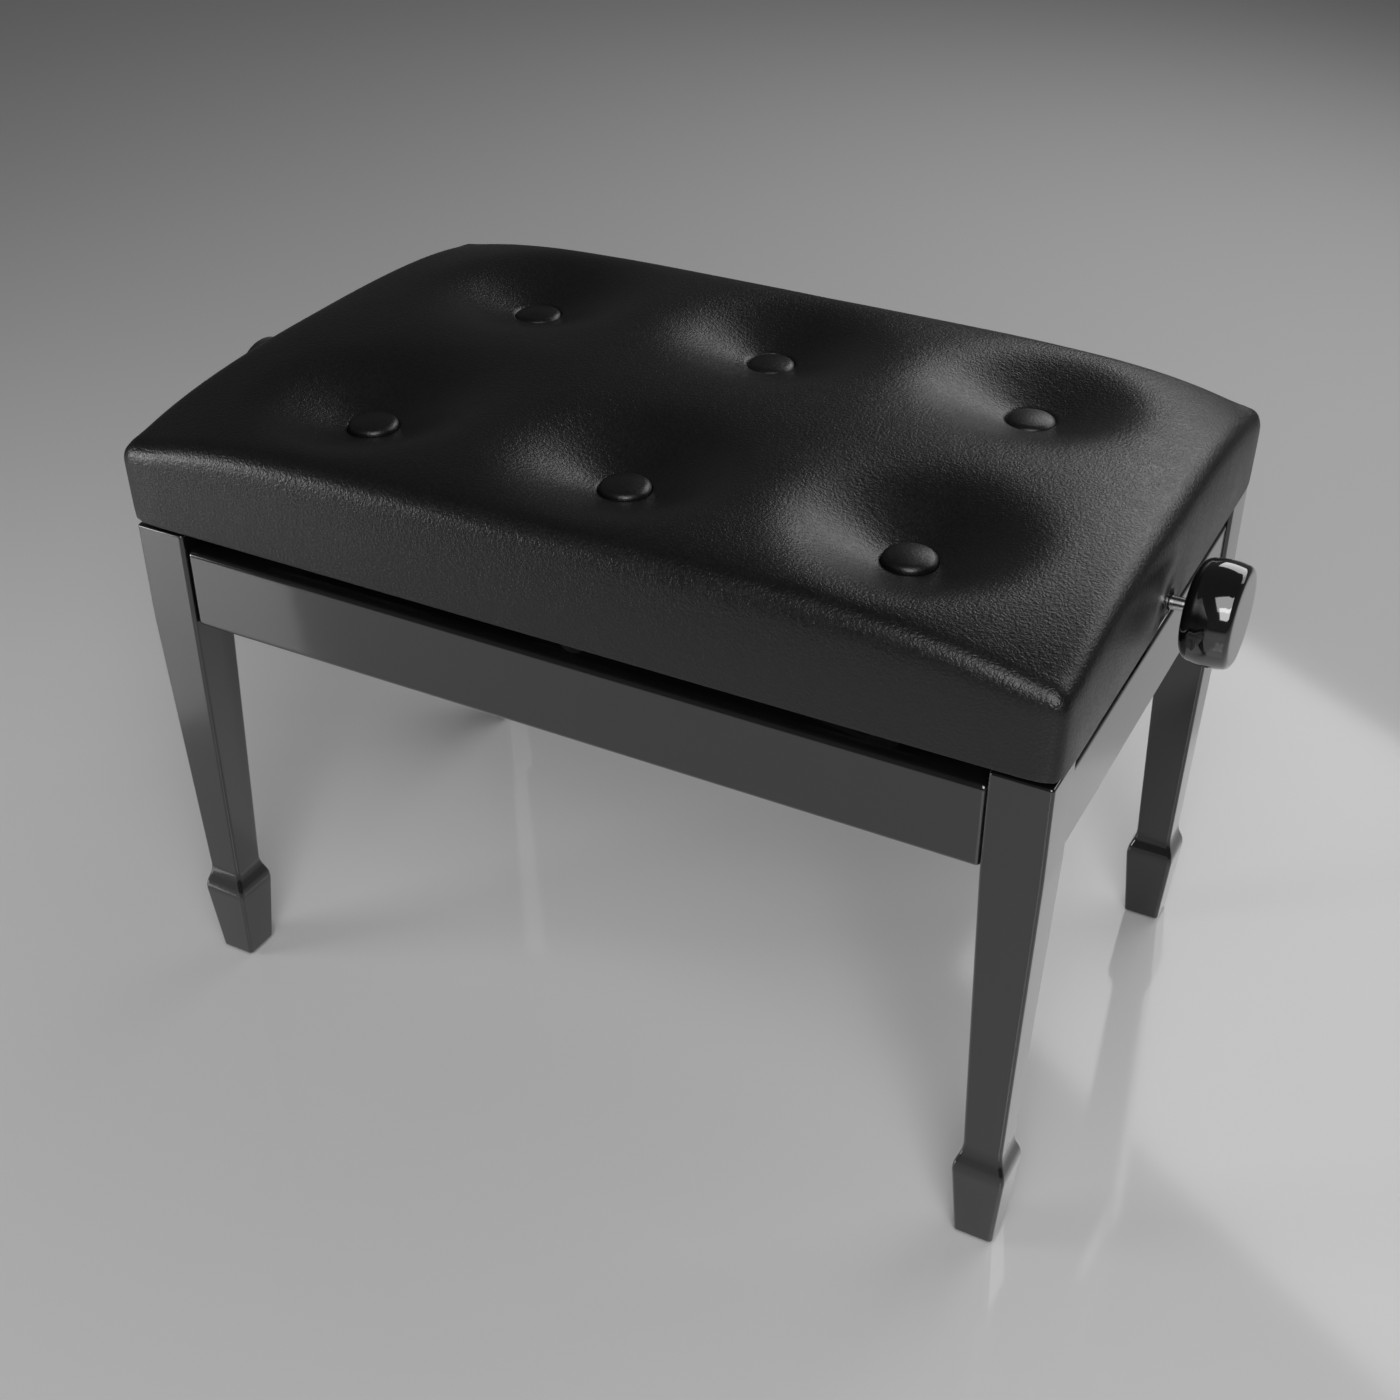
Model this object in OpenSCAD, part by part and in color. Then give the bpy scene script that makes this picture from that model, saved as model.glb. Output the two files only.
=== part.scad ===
/* [Frame] */
// Length of the frame over the outer faces of the legs
frame_l = 590; // [560:1:640]
// Depth of the frame over the outer faces of the legs
frame_w = 371; // [350:1:420]
// Height of the leg tops above the floor
leg_h = 343; // [320:1:420]
// Side of the square upper part of a leg
leg_side = 35; // [33:0.5:42]
// Side of a leg at its neck, just above the foot
neck_side = 24; // [18:0.5:28]
// Height of the neck above the floor
neck_z = 72; // [66:1:90]
// Side of a leg at the knee, the widest part of the foot
knee_side = 32; // [28:0.5:33]
// Height of the knee above the floor
knee_z = 58; // [40:1:62]
// Side of a foot where it meets the floor
foot_side = 24; // [20:0.5:28]
// Length of each corner of a leg's outline that is eased into a curve
knee_ease = 3; // [1:0.5:5]
// Rounding of the long edges of a leg
leg_edge = 2; // [1:0.1:4]
// Rounding of the edges of a leg's top
leg_top_edge = 1; // [0.5:0.1:2]
// Rounding of the edges of a foot's sole
foot_edge = 1.6; // [0.5:0.1:3]
// Radius of a foot glide
glide_r = 8; // [5:0.5:9]
// Thickness of a foot glide
glide_t = 2; // [1:0.5:4]

/* [Aprons] */
// Height of the aprons
apron_h = 53; // [48:1:70]
// Thickness of the aprons
apron_t = 20; // [16:0.5:24]
// Drop of the apron tops below the leg tops
apron_drop = 11; // [8:0.5:14]
// Setback of the apron faces from the leg faces
apron_inset = 2; // [1:0.5:4]
// Rounding of the apron edges
apron_edge = 2; // [1:0.25:4]
// Radius of the dowels that join aprons and legs
dowel_r = 4; // [3:0.5:5]
// Length of a dowel, half in the leg and half in the apron
dowel_l = 30; // [20:1:34]
// Height between the two dowels of one joint
dowel_pitch = 28; // [20:1:32]

/* [Corner blocks] */
// Length of a corner block along each apron
block_l = 55; // [50:1:60]
// Height of a corner block
block_h = 44; // [36:1:46]
// Width of the blunt ends of a corner block
block_tip = 8; // [5:1:12]
// Radius of the bolts that pull the legs into the corners
bolt_r = 3; // [2.5:0.25:4]
// Depth of a bolt in its leg
bolt_grip = 18; // [12:1:20]
// Length of bolt beyond the nut
bolt_spare = 3; // [1:0.5:6]
// Clearance of a bolt in its corner block
bolt_play = 0.25; // [0.1:0.05:0.5]
// Thickness of a corner nut
nut_t = 5; // [4:0.5:6]
// Width across the corners of a corner nut
nut_d = 11.5; // [10:0.5:14]
// Radius of the washer under a corner nut
washer_r = 8; // [7:0.5:10]
// Thickness of the washer under a corner nut
washer_t = 1.5; // [1:0.25:2.5]

/* [Scissor lift] */
// Distance from the arms' end pivots to the corner blocks with the seat down
pivot_inset = 29.5; // [27:0.5:60]
// Width of a scissor arm
arm_w = 22; // [20:0.5:23]
// Thickness of a scissor arm
arm_t = 4; // [3:0.5:5]
// Angle of the arms when the seat is down
rest_angle = 7; // [6.5:0.1:7.4]
// Angle through which the arms turn to the highest seat
lift_angle = 18; // [10:0.5:20]
// Side gap between the arms, and between arms and rails
arm_gap = 2; // [1:0.25:3]
// Radius of the pivots
pivot_r = 5; // [4:0.25:5.5]
// Radius of the crossing rods between their shoulders
shoulder_r = 7; // [6:0.5:8]
// Radius of the rollers that run in the slots
roller_r = 7; // [6.25:0.25:7.5]
// Free height above a roller in its slot
slot_play = 0.4; // [0.3:0.1:0.8]
// Free length past a roller at each end of its slot
slot_spare = 1; // [0.5:0.5:3]
// Height of the steel rails
rail_h = 26; // [24:0.5:28]
// Thickness of the steel rails
rail_t = 2.5; // [2:0.25:3]
// Width of the lip along a steel rail
rail_lip = 15; // [12:0.5:20]
// Distance from a rail's end to the corner block
rail_end_gap = 3; // [2:0.5:8]
// Side of the square crossbars
bar_side = 18; // [17:0.5:20]
// Radius of a rivet head and of the washers on the arms
head_r = 9; // [7:0.5:9.5]
// Height of a rivet head
head_h = 1.6; // [1:0.1:1.9]
// Radial clearance of turning pins and shafts
fit = 0.05; // [0.03:0.01:0.08]
// Radius of the wood screws
wood_screw_r = 2; // [1.5:0.25:2.5]
// Depth of a wood screw in the wood
wood_screw_grip = 10; // [8:0.5:11]
// Radius of a wood screw's head
wood_head_r = 4; // [3.5:0.25:4.5]
// Height of a wood screw's head
wood_head_h = 1.8; // [1.5:0.1:1.9]
// Height of the countersunk head of a deck screw
wood_cone_h = 2.5; // [2:0.25:4]
// Distance of the outer rail screws from the rail ends
screw_inset = 7; // [6:0.5:9]
// Distance of the inner rail screws from the middle of the bench
screw_mid = 60; // [40:1:80]

/* [Screw and knobs] */
// Height of the screw above the cushion's bottom
screw_rise = 9; // [8.7:0.1:9.6]
// Radius of the screw rod
screw_r = 4; // [3.5:0.25:4.5]
// Radius of the bushes in the seat frame and of the nut
bush_r = 6; // [5.5:0.25:6.5]
// Radius of the flange on a bush
bush_flange_r = 7.5; // [7:0.25:8]
// Thickness of the flange on a bush
bush_flange_t = 1.5; // [1:0.25:3]
// Radius of the thrust collars
collar_r = 8.5; // [8:0.5:10]
// Width of a thrust collar
collar_w = 8; // [6:0.5:12]
// End play of the screw between the bar and a collar
collar_play = 0.2; // [0.1:0.05:0.4]
// Radius of a collar's grub screw
grub_r = 2; // [1.5:0.25:2.5]
// Depth of a grub screw's head below the collar's surface
grub_sink = 0.5; // [0.25:0.25:1]
// Depth of the socket in a grub screw
grub_socket = 2; // [1:0.25:2.5]
// Radius of a knob
knob_r = 30; // [26:0.5:34]
// Length of a knob
knob_l = 29; // [24:0.5:36]
// Distance from the frame's end to the back of a knob
knob_gap = 14; // [8:0.5:20]
// Bulge of a knob's side between its ends
knob_belly = 1; // [0:0.1:1.5]
// Rounding between a knob's side and its face
knob_front_edge = 4; // [2:0.25:8]
// Rounding between a knob's side and its back
knob_back_edge = 8; // [4:0.25:12]
// Depth of the rod in a knob
knob_bore = 18; // [12:0.5:22]
// Radius of the metal hub in a knob
hub_r = 7; // [6:0.25:9]

/* [Seat] */
// Gap between the leg tops and the cushion's bottom
seat_gap = 3; // [2:0.25:4]
// Overhang of the cushion's bottom past the frame's ends
seat_over_l = -1; // [-2:0.25:1]
// Overhang of the cushion's bottom past the frame's sides
seat_over_w = -1; // [-2:0.25:1]
// Flare of the cushion's sides from its bottom to its rim
flare = 4; // [2:0.25:6]
// Height of the cushion from its bottom to its crown
cushion_h = 78; // [72:0.5:90]
// Drop of the cushion's top at the middle of its edges
edge_drop = 5; // [2:0.25:8]
// Further drop of the cushion's top at its corners
corner_drop = 23; // [10:0.5:26]
// Rounding of the cushion's bottom edge
seat_edge = 1.5; // [0.5:0.1:3]
// Rounding of the cushion's upper edge
roll_r = 13; // [9:0.5:16]
// Rounding of the cushion's vertical corners
seat_corner_r = 14; // [11:0.5:18]
// Thickness of the cover
cover_t = 1.5; // [1:0.1:2]
// Width of the cover's hem under the frame
hem_w = 12; // [8:0.5:15]
// Height of the wooden seat frame
wood_h = 23; // [22:0.5:26]
// Thickness of the frame's end rails
wood_t = 18; // [16:0.5:20]
// Thickness of the plywood deck
deck_t = 12; // [9:0.5:14]
// Clearance of the frame, deck and foam inside the cover
stuffing_gap = 0.3; // [0.2:0.05:0.5]
// Radius of the opening in the cover for the rod
rod_hole_r = 8; // [6.5:0.25:8]
// Rise of that opening's centre above the rod
rod_hole_rise = 1; // [0.5:0.25:2]
// Length of the screws that hold the deck to its frame
deck_screw_l = 28; // [20:1:30]
// Distance between the deck screws along the bench
deck_screw_pitch = 175; // [140:1:200]
// Distance between the deck screws of an end rail
deck_screw_rows = 190; // [120:1:240]

/* [Buttons] */
// Distance between neighbouring buttons along the bench
button_pitch = 176; // [160:1:180]
// Distance between the two rows of buttons
button_rows = 190; // [170:1:196]
// Radius of a button
button_r = 15.5; // [12:0.5:17]
// Height of a button
button_h = 8; // [5:0.5:10]
// Rounding of a button's back edge
button_edge = 2.5; // [1:0.25:3.5]
// Depth of the button seats below the crown
tuft_depth = 29.5; // [28:0.5:34]
// Gap round a button in its pocket
tuft_gap = 1; // [1:0.25:3]
// Height of the leather's lip round a button above the button's seat
tuft_lip = 3; // [1:0.5:5]
// Radius at which a tuft's slope levels out
tuft_r = 106; // [90:1:110]
// Radius of a button's shank
shank_r = 1.5; // [1:0.25:2]
// Clearance of a shank in the deck and the foam
shank_play = 0.3; // [0.2:0.05:0.5]
// Length of a shank below its washer
shank_tail = 1; // [0.5:0.25:2]
// Radius of the washer that anchors a button under the deck
anchor_r = 9; // [6:0.5:10]
// Thickness of that washer
anchor_t = 1.6; // [1:0.2:1.8]

/* [Hidden] */
$fn = 48;

lacquer = [0.02, 0.02, 0.022];
steel_black = [0.09, 0.09, 0.1];
zinc = [0.72, 0.73, 0.75];
chrome = [0.85, 0.86, 0.88];
beech = [0.76, 0.6, 0.42];
plywood = [0.82, 0.68, 0.48];
leather = [0.04, 0.04, 0.043];
nylon = [0.88, 0.87, 0.83];
brass = [0.78, 0.62, 0.3];
foam = [0.93, 0.88, 0.66];

// Frame and aprons
leg_x = (frame_l - leg_side) / 2;
leg_y = (frame_w - leg_side) / 2;
leg_in_x = frame_l / 2 - leg_side;
leg_in_y = frame_w / 2 - leg_side;
apron_top = leg_h - apron_drop;
apron_z = apron_top - apron_h / 2;
apron_x = frame_l / 2 - apron_inset - apron_t / 2;
apron_y = frame_w / 2 - apron_inset - apron_t / 2;
apron_in_x = apron_x - apron_t / 2;
apron_in_y = apron_y - apron_t / 2;
block_notch = apron_in_x - leg_in_x;
block_face = (block_l + block_tip) / 2;
bolt_start = (block_notch - block_face) * sqrt(2) - washer_t - nut_t - bolt_spare;

// Seat heights
seat_z = leg_h + seat_gap;
wood_z = seat_z + cover_t;
deck_z = wood_z + wood_h;
deck_top = deck_z + deck_t;
crown_z = seat_z + cushion_h;
tuft_z = crown_z - tuft_depth;
seat_hx = frame_l / 2 + seat_over_l;
seat_hy = frame_w / 2 + seat_over_w;
rim_hx = seat_hx + flare;
rim_hy = seat_hy + flare;
wood_hx = seat_hx - cover_t - stuffing_gap;
wood_hy = seat_hy - cover_t - stuffing_gap;
wood_corner_r = seat_corner_r - cover_t;

// Scissor geometry: the screw lies on the axis of the upper pivots
screw_z = seat_z + screw_rise;
pivot_high = screw_z;
reach_down = 2 * (apron_in_x - block_l - pivot_inset);
arm_l = reach_down / cos(rest_angle);
reach_up = arm_l * cos(rest_angle + lift_angle);
pivot_low = pivot_high - arm_l * sin(rest_angle);
fixed_x = -reach_down / 2;
sliding_x = reach_down / 2;
rail_out = apron_in_y;
rail_in = rail_out - rail_t;
outer_arm_out = rail_in - arm_gap;
outer_arm_in = outer_arm_out - arm_t;
inner_arm_out = outer_arm_in - arm_gap;
inner_arm_in = inner_arm_out - arm_t;
rail_half = apron_in_x - block_l - rail_end_gap;
slot_r = roller_r + slot_play;
slot_near = fixed_x + reach_up - slot_spare;
slot_far = sliding_x + slot_spare;
side_play = 0.2;
press_play = 0.02;
sleeve_r = roller_r - 0.5;
base_screw_mid_z = pivot_low - rail_h / 4;

// Screw and knobs
knob_back = frame_l / 2 + knob_gap;
screw_half = knob_back + knob_bore;

button_x = [-button_pitch, 0, button_pitch];
button_y = [-button_rows / 2, button_rows / 2];

function rounded(hx, hy, r, n = 4) = [
    for (q = [0:3], i = [0:n])
        let (a = 90 * (q + i / n), cx = q == 0 || q == 3 ? hx - r : r - hx, cy = q < 2 ? hy - r : r - hy)
            [cx + r * cos(a), cy + r * sin(a)]
];

function stadium(l, r, n = 12) = concat(
    [for (i = [0:n]) [l + r * sin(180 * i / n), -r * cos(180 * i / n)]],
    [for (i = [0:n]) [-r * sin(180 * i / n), r * cos(180 * i / n)]]
);

function at_height(points, z) = [for (p = points) [p[0], p[1], z]];

// Closed solid through a stack of rings of equal length, each counter-clockwise from above.
// Each end face starts on a rounded corner, so that no triangle of it lies along a straight side.
module loft(rings) {
    n = len(rings[0]);
    last = len(rings) - 1;
    sides = [
        for (k = [0:last - 1], i = [0:n - 1])
            [k * n + i, (k + 1) * n + i, (k + 1) * n + (i + 1) % n, k * n + (i + 1) % n]
    ];
    floor_face = [[for (i = [0:n - 1]) (i + 2) % n]];
    top_face = [[for (i = [0:n - 1]) last * n + (n + 2 - i) % n]];
    polyhedron(points = [for (ring = rings) for (p = ring) p], faces = concat(sides, floor_face, top_face));
}

module rounded_block(size, r) {
    intersection() {
        linear_extrude(size[2], center = true) polygon(rounded(size[0] / 2, size[1] / 2, r));
        rotate([90, 0, 0]) linear_extrude(size[1], center = true)
            polygon(rounded(size[0] / 2, size[2] / 2, r));
        rotate([90, 0, 90]) linear_extrude(size[0], center = true)
            polygon(rounded(size[1] / 2, size[2] / 2, r));
    }
}

module along_x(x0, x1, r) {
    translate([x0, 0, 0]) rotate([0, 90, 0]) cylinder(h = x1 - x0, r = r);
}

module along_y(y0, y1, r) {
    translate([0, y1, 0]) rotate([90, 0, 0]) cylinder(h = y1 - y0, r = r);
}

module tube_y(y0, y1, r, bore) {
    difference() {
        along_y(y0, y1, r);
        along_y(y0 - 1, y1 + 1, bore);
    }
}

module front_and_back() {
    children();
    mirror([0, 1, 0]) children();
}

module at_pivot(x, z) {
    translate([x, 0, z]) children();
}

// Frame

function leg_ring(side, z) = at_height(rounded(side / 2, side / 2, leg_edge, 3), z);

// Rings on the rounding between a leg's sides and its end face, which looks up or down
function end_rings(side, z, edge, up, angles) = [
    for (a = angles) leg_ring(side - 2 * edge * (1 - cos(a)), z - up * edge * (1 - sin(a)))
];

// Open outline whose inner corners are eased into curves of a given length each way
function eased(points, ease, n = 4) = concat(
    [points[0]],
    [
        for (k = [1:len(points) - 2])
            let (
                corner = points[k], before = points[k - 1] - corner, after = points[k + 1] - corner,
                from = corner + before * ease / norm(before), to = corner + after * ease / norm(after)
            )
            for (i = [0:n])
                let (t = i / n) (1 - t) * (1 - t) * from + 2 * t * (1 - t) * corner + t * t * to
    ],
    [points[len(points) - 1]]
);

// Half sides and heights of a leg between the roundings of its ends
function leg_outline() = eased([
    [foot_side / 2, glide_t + foot_edge],
    [knee_side / 2, knee_z],
    [neck_side / 2, neck_z],
    [leg_side / 2, apron_top - apron_h],
    [leg_side / 2, leg_h - leg_top_edge]
], knee_ease);

module leg_form() {
    loft(concat(
        end_rings(foot_side, glide_t, foot_edge, -1, [90:-30:30]),
        [for (p = leg_outline()) leg_ring(2 * p[0], p[1])],
        end_rings(leg_side, leg_h, leg_top_edge, 1, [30:30:90])
    ));
}

module dowel_heights() {
    for (s = [-1, 1]) translate([0, 0, apron_z + s * dowel_pitch / 2]) children();
}

module leg(side_x, side_y) {
    color(lacquer) mirror([side_x < 0 ? 1 : 0, 0, 0]) mirror([0, side_y < 0 ? 1 : 0, 0])
        difference() {
            translate([leg_x, leg_y, 0]) leg_form();
            dowel_heights() {
                translate([0, apron_y, 0]) along_x(leg_in_x - 1, leg_in_x + dowel_l / 2, dowel_r);
                translate([apron_x, 0, 0]) along_y(leg_in_y - 1, leg_in_y + dowel_l / 2, dowel_r);
            }
            corner_axis() translate([0, 0, -1]) cylinder(h = bolt_grip + 1, r = bolt_r);
        }
}

module apron_long(side_y) {
    color(lacquer) translate([0, side_y * apron_y, 0])
        difference() {
            translate([0, 0, apron_z]) rounded_block([2 * leg_in_x, apron_t, apron_h], apron_edge);
            dowel_heights() for (s = [-1, 1])
                mirror([s < 0 ? 1 : 0, 0, 0]) along_x(leg_in_x - dowel_l / 2, leg_in_x + 1, dowel_r);
            for (x = [-1, 1] * screw_mid)
                translate([x, 0, base_screw_mid_z]) pilot_y(-side_y);
            for (x = [-1, 1] * (rail_half - screw_inset))
                translate([x, 0, pivot_low]) pilot_y(-side_y);
        }
}

// Pilot hole from the inner face of a long apron
module pilot_y(inward) {
    mirror([0, inward > 0 ? 1 : 0, 0])
        along_y(-apron_t / 2 - 1, -apron_t / 2 + wood_screw_grip, wood_screw_r);
}

module apron_short(side_x) {
    color(lacquer) translate([side_x * apron_x, 0, 0])
        difference() {
            translate([0, 0, apron_z]) rounded_block([apron_t, 2 * leg_in_y, apron_h], apron_edge);
            dowel_heights() front_and_back() along_y(leg_in_y - dowel_l / 2, leg_in_y + 1, dowel_r);
        }
}

module apron_dowels() {
    color(beech) for (sx = [0, 1]) mirror([sx, 0, 0]) front_and_back() dowel_heights() {
        translate([0, apron_y, 0]) along_x(leg_in_x - dowel_l / 2, leg_in_x + dowel_l / 2, dowel_r);
        translate([apron_x, 0, 0]) along_y(leg_in_y - dowel_l / 2, leg_in_y + dowel_l / 2, dowel_r);
    }
}

// Axis of the bolt in one corner, starting at the leg's inner edge and running into the leg
module corner_axis() {
    translate([leg_in_x, leg_in_y, apron_z]) rotate([0, 90, 45]) children();
}

module corner_block(side_x, side_y) {
    notch = block_notch + stuffing_gap;
    color(beech) mirror([side_x < 0 ? 1 : 0, 0, 0]) mirror([0, side_y < 0 ? 1 : 0, 0])
        difference() {
            translate([apron_in_x, apron_in_y, apron_z - block_h / 2]) mirror([1, 0, 0]) mirror([0, 1, 0])
                linear_extrude(block_h) polygon([
                    [notch, 0], [block_l, 0], [block_l, block_tip], [block_tip, block_l],
                    [0, block_l], [0, notch], [notch, notch]
                ]);
            corner_axis() cylinder(h = 4 * block_l, r = bolt_r + bolt_play, center = true);
        }
}

module each_corner() {
    for (sx = [0, 1], sy = [0, 1]) mirror([sx, 0, 0]) mirror([0, sy, 0]) children();
}

module corner_bolts() {
    color(zinc) each_corner() corner_axis()
        translate([0, 0, bolt_start]) cylinder(h = bolt_grip - bolt_start, r = bolt_r);
}

module corner_nuts() {
    face = (block_notch - block_face) * sqrt(2);
    color(zinc) each_corner() corner_axis() difference() {
        union() {
            translate([0, 0, face - washer_t]) cylinder(h = washer_t, r = washer_r);
            translate([0, 0, face - washer_t - nut_t]) cylinder(h = nut_t, d = nut_d, $fn = 6);
        }
        translate([0, 0, 2 * bolt_start]) cylinder(h = -2 * bolt_start, r = bolt_r + press_play);
    }
}

module foot_glides() {
    color(nylon) each_corner() translate([leg_x, leg_y, 0])
        rotate_extrude() polygon([
            [0, 0], [glide_r - 1, 0], [glide_r, glide_t / 2], [glide_r, glide_t], [0, glide_t]
        ]);
}

// Scissor lift

// Angle rail on the back side, with its pivot axis at height 0 and the face of its lip below that
module slotted_rail(lip_face) {
    difference() {
        rotate([90, 0, 90]) translate([0, 0, -rail_half]) linear_extrude(2 * rail_half) polygon([
            [rail_out, -lip_face], [rail_out, rail_h / 2], [rail_in, rail_h / 2],
            [rail_in, rail_t - lip_face], [rail_out - rail_lip, rail_t - lip_face],
            [rail_out - rail_lip, -lip_face]
        ]);
        translate([fixed_x, 0, 0]) along_y(rail_in - 1, rail_out + 1, pivot_r);
        translate([slot_near, rail_in - 1, -slot_r]) cube([slot_far - slot_near, rail_t + 2, 2 * slot_r]);
        for (x = [slot_near, slot_far]) translate([x, 0, 0]) along_y(rail_in - 1, rail_out + 1, slot_r);
    }
}

module base_rail(side_y) {
    color(steel_black) mirror([0, side_y < 0 ? 1 : 0, 0]) difference() {
        at_pivot(0, pivot_low) slotted_rail(rail_h / 2 + rail_t);
        base_screw_places() along_y(rail_in - 1, rail_out + 1, wood_screw_r);
    }
}

module base_screw_places() {
    for (x = [-1, 1] * screw_mid) translate([x, 0, base_screw_mid_z]) children();
    for (x = [-1, 1] * (rail_half - screw_inset)) translate([x, 0, pivot_low]) children();
}

module base_rail_screws() {
    color(zinc) front_and_back() base_screw_places() {
        along_y(rail_in - wood_head_h, rail_out + wood_screw_grip, wood_screw_r);
        along_y(rail_in - wood_head_h, rail_in, wood_head_r);
    }
}

// Rod with shoulders inside the arms and thinner ends that carry them
module shouldered_rod(shoulder, end) {
    along_y(-shoulder, shoulder, shoulder_r);
    along_y(-end, end, pivot_r);
}

module base_pivot_rod() {
    color(steel_black) at_pivot(fixed_x, pivot_low) shouldered_rod(outer_arm_in - side_play, rail_out);
}

module base_pivot_washers() {
    color(nylon) at_pivot(fixed_x, pivot_low)
        front_and_back() tube_y(outer_arm_out + side_play, rail_in, head_r, pivot_r);
}

// Flat arm along +X from its first pivot, on the back side, with its outer face at y
module arm_plate(y) {
    difference() {
        translate([0, y, 0]) rotate([90, 0, 0]) linear_extrude(arm_t) polygon(stadium(arm_l, arm_w / 2));
        for (x = [0, arm_l / 2, arm_l]) translate([x, 0, 0]) along_y(y - arm_t - 1, y + 1, pivot_r + fit);
    }
}

module outer_arm(side_y) {
    color(steel_black) mirror([0, side_y < 0 ? 1 : 0, 0])
        at_pivot(fixed_x, pivot_low) rotate([0, -rest_angle, 0]) arm_plate(outer_arm_out);
}

module inner_arm(side_y) {
    color(steel_black) mirror([0, side_y < 0 ? 1 : 0, 0])
        at_pivot(fixed_x, pivot_high) rotate([0, rest_angle, 0]) arm_plate(inner_arm_out);
}

module centre_rivets() {
    color(zinc) at_pivot(0, (pivot_low + pivot_high) / 2) front_and_back() {
        along_y(inner_arm_in - side_play, outer_arm_out, pivot_r);
        along_y(outer_arm_out, outer_arm_out + head_h, head_r);
        along_y(inner_arm_in - side_play - head_h, inner_arm_in - side_play, head_r);
    }
}

module centre_washers() {
    color(nylon) at_pivot(0, (pivot_low + pivot_high) / 2)
        front_and_back() tube_y(inner_arm_out + side_play, outer_arm_in, head_r, pivot_r);
}

module slide_rod() {
    color(steel_black) at_pivot(sliding_x, pivot_low) shouldered_rod(inner_arm_in, rail_out - side_play);
}

module slide_rollers() {
    color(nylon) at_pivot(sliding_x, pivot_low)
        front_and_back() tube_y(rail_in + side_play, rail_out - side_play, roller_r, pivot_r);
}

// Sleeves between the inner arms and the rails
module inner_sleeves() {
    front_and_back() tube_y(inner_arm_out, rail_in - side_play, sleeve_r, pivot_r);
}

module slide_sleeves() {
    color(nylon) at_pivot(sliding_x, pivot_low) inner_sleeves();
}

module seat_rail(side_y) {
    color(steel_black) mirror([0, side_y < 0 ? 1 : 0, 0]) difference() {
        at_pivot(0, pivot_high) mirror([0, 0, 1]) slotted_rail(deck_z - pivot_high);
        seat_screw_places() translate([0, 0, -2 * rail_t]) cylinder(h = 3 * rail_t, r = wood_screw_r);
    }
}

module seat_screw_places() {
    for (x = [-rail_half + screw_inset, -screw_mid, screw_mid, rail_half - screw_inset])
        translate([x, rail_out - rail_lip + wood_head_r, deck_z]) children();
}

module seat_rail_screws() {
    color(zinc) front_and_back() seat_screw_places() {
        translate([0, 0, -rail_t - 0.5]) cylinder(h = rail_t + 0.5 + wood_screw_grip, r = wood_screw_r);
        translate([0, 0, -rail_t - wood_head_h]) cylinder(h = wood_head_h, r = wood_head_r);
    }
}

// Square crossbar with round ends that carry the arms
module crossbar(shoulder, end) {
    translate([-bar_side / 2, -shoulder, -bar_side / 2]) cube([bar_side, 2 * shoulder, bar_side]);
    along_y(-end, end, pivot_r);
}

module bearing_bar() {
    color(steel_black) at_pivot(fixed_x, pivot_high) difference() {
        crossbar(inner_arm_in - side_play, rail_out);
        along_x(-bar_side, bar_side, screw_r + fit);
    }
}

module bearing_sleeves() {
    color(nylon) at_pivot(fixed_x, pivot_high)
        front_and_back() tube_y(inner_arm_out + side_play, rail_in, sleeve_r, pivot_r);
}

module nut_bar() {
    color(steel_black) at_pivot(sliding_x, pivot_high) difference() {
        crossbar(outer_arm_in - side_play, rail_out - side_play);
        along_x(-bar_side, bar_side, bush_r);
    }
}

module nut_insert() {
    color(brass) at_pivot(sliding_x, pivot_high) difference() {
        along_x(-bar_side / 2, bar_side / 2, bush_r);
        along_x(-bar_side, bar_side, screw_r + fit);
    }
}

module nut_bar_rollers() {
    color(nylon) at_pivot(sliding_x, pivot_high)
        front_and_back() tube_y(rail_in + side_play, rail_out - side_play, roller_r, pivot_r);
}

module nut_bar_washers() {
    color(nylon) at_pivot(sliding_x, pivot_high)
        front_and_back() tube_y(outer_arm_out + side_play, rail_in - side_play, head_r, pivot_r);
}

// Screw and knobs

module screw_rod() {
    color(chrome) at_pivot(0, screw_z) along_x(-screw_half, screw_half, screw_r);
}

module collar_places() {
    offset_x = bar_side / 2 + collar_play + collar_w / 2;
    for (s = [-1, 1]) at_pivot(fixed_x + s * offset_x, screw_z) children();
}

module thrust_collars() {
    color(zinc) collar_places() difference() {
        along_x(-collar_w / 2, collar_w / 2, collar_r);
        along_x(-collar_w, collar_w, screw_r);
        along_y(-2 * collar_r, 0, grub_r);
    }
}

module collar_screws() {
    color(steel_black) collar_places() difference() {
        along_y(-collar_r + grub_sink, -screw_r - press_play, grub_r);
        along_y(-collar_r, -collar_r + grub_sink + grub_socket, grub_r / 2, $fn = 6);
    }
}

function arc(cx, cy, r, from, to, n = 6) = [
    for (i = [0:n]) let (a = from + (to - from) * i / n) [cx + r * cos(a), cy + r * sin(a)]
];

// Knob turned about +Z from its back at height 0, with a side that bulges between two roundings
module knob_form() {
    end_r = knob_r - knob_belly;
    side_h = knob_l - knob_back_edge - knob_front_edge;
    side_steps = 6;
    difference() {
        rotate_extrude() polygon(concat(
            [[0, 0]],
            arc(end_r - knob_back_edge, knob_back_edge, knob_back_edge, -90, 0),
            [
                for (i = [1:side_steps - 1])
                    let (t = i / side_steps)
                        [end_r + 4 * knob_belly * t * (1 - t), knob_back_edge + side_h * t]
            ],
            arc(end_r - knob_front_edge, knob_l - knob_front_edge, knob_front_edge, 0, 90),
            [[0, knob_l]]
        ));
        translate([0, 0, -1]) cylinder(h = knob_bore + 1, r = hub_r);
    }
}

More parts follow.
